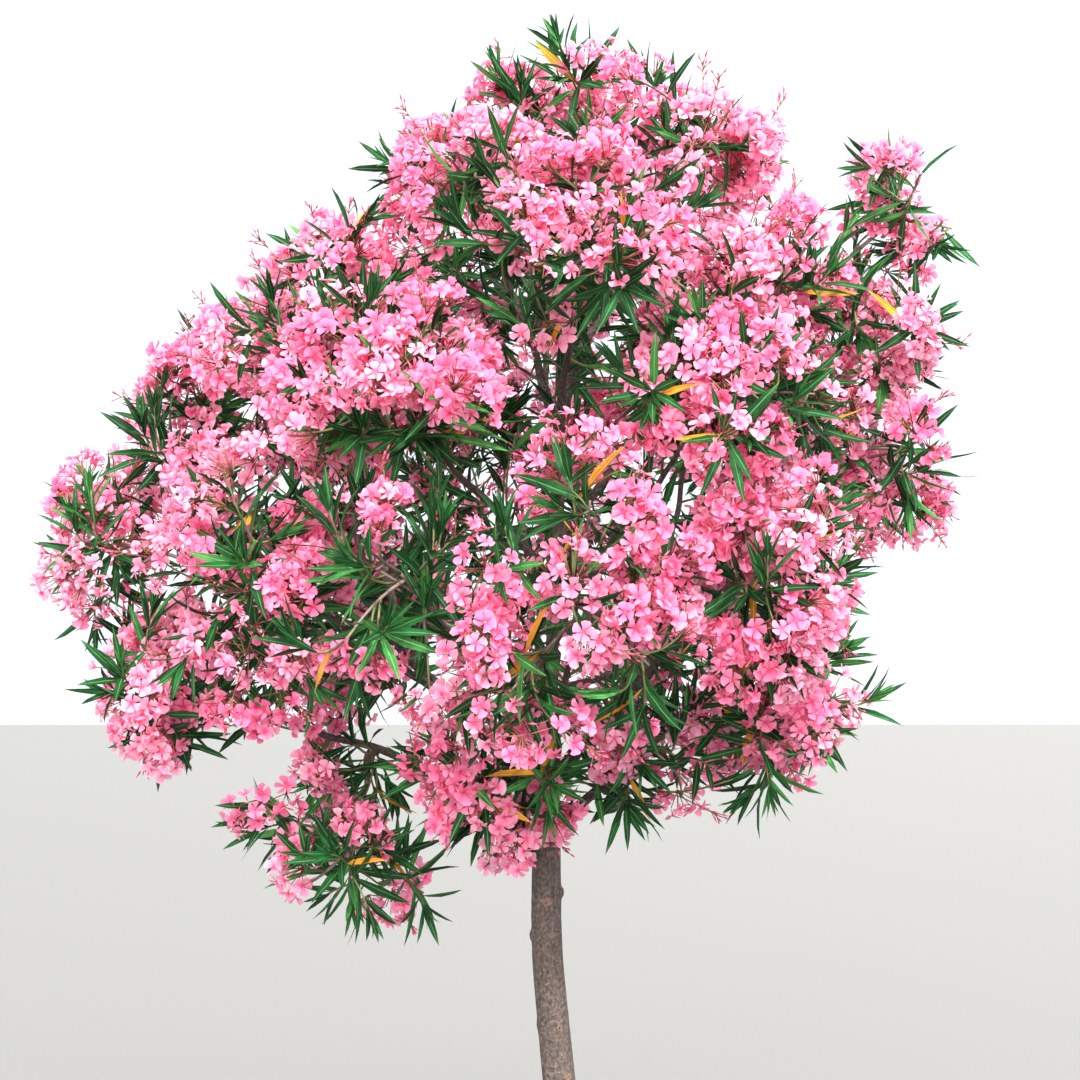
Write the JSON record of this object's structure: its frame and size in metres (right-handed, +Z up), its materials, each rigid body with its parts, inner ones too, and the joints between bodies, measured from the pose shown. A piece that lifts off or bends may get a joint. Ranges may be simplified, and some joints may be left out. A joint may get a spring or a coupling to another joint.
{
  "type": "potted oleander",
  "caption": "Flowering shrub trained as a small tree: one bare stem, a round crown of narrow leaves and pink blossom, in a plain clay pot",
  "frame": {"origin": "middle of the pot's flat underside, which stands on the ground", "axes": "+Z is up; -Y is the side that the picture shows, +X is to the right in it"},
  "size_m": [2.0208, 1.9321, 2.9797],
  "materials": {
    "clay": "matte",
    "soil": "matte",
    "bark": "matte",
    "blossom": "matte",
    "leaf": "satin"
  },
  "bodies": {
    "root": {"pot": "clay", "soil": "soil", "trunk": "bark", "bough_crest": "bark", "bough_left_shoulder": "bark", "bough_right_tip": "bark", "bough_front_low": "bark", "bough_back_middle": "bark", "bough_left_low": "bark", "bough_right_low": "bark", "bough_top_right": "bark", "bough_top_left": "bark", "bough_front_upper": "bark", "bough_back_top": "bark", "bough_upper_left": "bark", "bough_left_tip": "bark", "bough_front_left": "bark", "bough_front_left_low": "bark", "bough_back_upper_left": "bark", "bough_upper_right": "bark", "bough_right_upper": "bark", "bough_right_sprig": "bark", "bough_back_upper_right": "bark", "bough_front_right": "bark", "bough_front_right_low": "bark", "bough_front_green": "bark", "bough_hanging_left": "bark", "bough_low_front": "bark", "bough_low_right": "bark", "bough_back_low_left": "bark", "bough_back_low_right": "bark", "mass_crest": "blossom", "mass_left_shoulder": "blossom", "mass_right_tip": "blossom", "mass_front_low": "blossom", "mass_back_middle": "blossom", "mass_left_low": "blossom", "mass_right_low": "blossom", "mass_top_right": "blossom", "mass_top_left": "blossom", "mass_front_upper": "blossom", "mass_back_top": "blossom", "mass_upper_left": "blossom", "mass_left_tip": "blossom", "mass_front_left": "blossom", "mass_front_left_low": "blossom", "mass_back_upper_left": "blossom", "mass_upper_right": "blossom", "mass_right_upper": "blossom", "mass_right_sprig": "blossom", "mass_back_upper_right": "blossom", "mass_front_right": "blossom", "mass_front_right_low": "blossom", "mass_front_green": "leaf", "mass_hanging_left": "leaf", "mass_low_front": "leaf", "mass_low_right": "blossom", "mass_back_low_left": "blossom", "mass_back_low_right": "blossom"}
  },
  "joints": []
}
